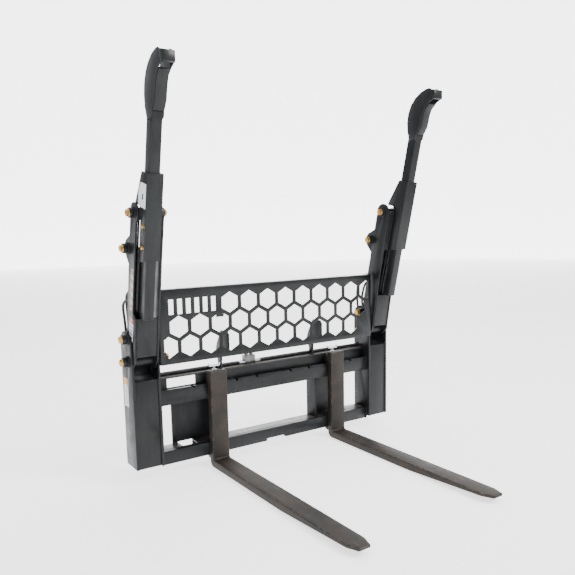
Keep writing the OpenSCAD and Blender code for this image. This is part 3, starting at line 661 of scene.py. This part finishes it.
# ---------------------------------------------------------------- hoses
def through(points, steps=10):
    """Catmull-Rom stretches through given points."""
    out = []
    last = len(points) - 1
    for i in range(last):
        a, b, c, d = points[max(i - 1, 0)], points[i], points[i + 1], points[min(i + 2, last)]
        for k in range(steps):
            f = k / steps
            out.append(0.5 * (2 * b + (c - a) * f + (2 * a - 5 * b + 4 * c - d) * f ** 2
                              + (3 * b - a - 3 * c + d) * f ** 3))
    return out + [points[-1]]


CROSS_END = TOWER_X0 + PLATE + 4
START = CROSS_END + 2
ROUTES = (
    ((START, 89, HOSE_Z), (START + 12, 89, HOSE_Z), (START + 36, 92, HOSE_Z + 20), (START + 66, 103, HOSE_Z + 90),
     (START + 88, 146, HOSE_Z + 200), (START + 92, 163, HOSE_Z + 300), (CYL_X + 12, 138, BASE[1] + 168)),
    ((START, 108, HOSE_Z), (START + 12, 108, HOSE_Z), (START + 32, 111, HOSE_Z + 24),
     (START + 50, 130, HOSE_Z + 100), (START + 64, 172, HOSE_Z + 220), (START + 68, 184, HOSE_Z + 350),
     (CYL_X - 14, 150, BASE[1] + 214)))

for name, s in SIDES.items():
    for k, (route, (x, along)) in enumerate(zip(ROUTES, PORTS), 1):
        points = [Vector((s * p[0], p[1], p[2])) * MM for p in route]
        points += [cylinder_point(s, x, PORT + back, along) for back in (38, 14, 2)]
        hose = grow(f"{name}_arm_hose_{k}", TUBE, [through(points)], None, "hose_rubber",
                    Radius=0.007, Sides=18, Material=RUBBER)
        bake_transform(hose)
        k == 1
    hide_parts(name + "_arm_hoses")

    def ferrules(bm, s=s):
        for x, along in PORTS:
            bar(bm, cylinder_point(s, x, PORT, along), cylinder_point(s, x, PORT + 38, along),
                [(0, 8.2), (0.08, 9.6), (0.8, 9.6), (1, 8.0)], 24)

    piece(name + "_hose_ferrules", name + "_barrel", BRIGHT, ferrules)

cross = [[Vector((s * x, y, HOSE_Z)) * MM for x in (inner, CROSS_END)]
         for y in HOSE_Y for s, inner in ((1, BLOCK_X[1] - 16), (-1, -BLOCK_X[0] - 16))]
line = grow("cross_hose_lines", TUBE, cross, "frame", "hose_rubber", Radius=0.0079, Sides=18, Material=RUBBER)
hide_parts("cross_hoses")


def crimps(bm):
    for y in HOSE_Y:
        for a, b in ((BLOCK_X[1], BLOCK_X[1] + 37), (BLOCK_X[0], BLOCK_X[0] - 37)):
            bar(bm, Vector((a, y, HOSE_Z)) * MM, Vector((b, y, HOSE_Z)) * MM,
                [(0, 8.6), (0.1, 10), (0.85, 10), (1, 8.4)], 24)


piece("manifold_crimps", "frame", BRIGHT, crimps)

# ---------------------------------------------------------------- stage, light and camera
mesh = bpy.data.meshes.new("floor")
floor_z = -DATUM * MM - 0.0006
mesh.from_pydata([(x, y, floor_z) for x, y in ((-60, -60), (60, -60), (60, 60), (-60, 60))], [], [(0, 1, 2, 3)])
mesh.materials.append(floor_paper())
new_object("floor", mesh)

WALL = backdrop()
WALL_R, WALL_Z = 22, (-1, 16)


def wall(name, first, last):
    """A curved white wall round the object, between two angles in degrees from +X."""
    bend = [math.radians(a) for a in range(first, last + 1, 6)]
    points = [(WALL_R * math.cos(a), WALL_R * math.sin(a), z) for z in WALL_Z for a in bend]
    n = len(bend)
    mesh = bpy.data.meshes.new(name)
    mesh.from_pydata(points, [], [(k + 1, k, k + n, k + n + 1) for k in range(n - 1)])
    mesh.materials.append(WALL)
    o = new_object(name, mesh)
    return o


wall("backdrop", 18, 90)
surround = wall("surround", 90, 378)
surround.visible_diffuse = surround.visible_glossy = False

world = bpy.data.worlds.new("studio")
bpy.context.scene.world = world
world.use_nodes = True
world.node_tree.nodes["Background"].inputs[0].default_value = (0.93, 0.95, 1.0, 1)
world.node_tree.nodes["Background"].inputs[1].default_value = 0.85


def light(name, place, target, size, power, colour=(1, 1, 1)):
    data = bpy.data.lights.new(name, "AREA")
    data.shape = "RECTANGLE"
    data.size, data.size_y = size
    data.energy = power
    data.color = colour
    o = bpy.data.objects.new(name, data)
    o.location = Vector(place) - Vector((0, 0, DATUM * MM))
    o.rotation_euler = (Vector(target) - Vector(place)).to_track_quat("-Z", "Y").to_euler()
    bpy.context.scene.collection.objects.link(o)


light("key", (2.6, -4.5, 4.6), (0, 0, 0.8), (2.2, 2.2), 420, (1.0, 0.98, 0.95))
light("sky", (0, 1.0, 6.0), (0, 0, 0), (6, 6), 260, (0.93, 0.96, 1.0))

YAW, PITCH, ROLL = math.radians(-34.0), math.radians(-8.0), math.radians(-1.1)
look = Vector((-math.sin(YAW) * math.cos(PITCH), math.cos(YAW) * math.cos(PITCH), math.sin(PITCH)))
right = look.cross(Vector((0, 0, 1))).normalized()
up = right.cross(look)
right, up = (math.cos(ROLL) * right + math.sin(ROLL) * up, -math.sin(ROLL) * right + math.cos(ROLL) * up)
lens = bpy.data.cameras.new("camera")
lens.lens = 39.42
lens.sensor_width = 36
lens.shift_x = -0.0071
lens.shift_y = 0.0506
camera = bpy.data.objects.new("camera", lens)
bpy.context.scene.collection.objects.link(camera)
place = Vector((-1.9357, -3.0705, 1.3108 - DATUM * MM))
camera.matrix_world = Matrix.Translation(place) @ Matrix((right, up, -look)).transposed().to_4x4()
bpy.context.scene.camera = camera
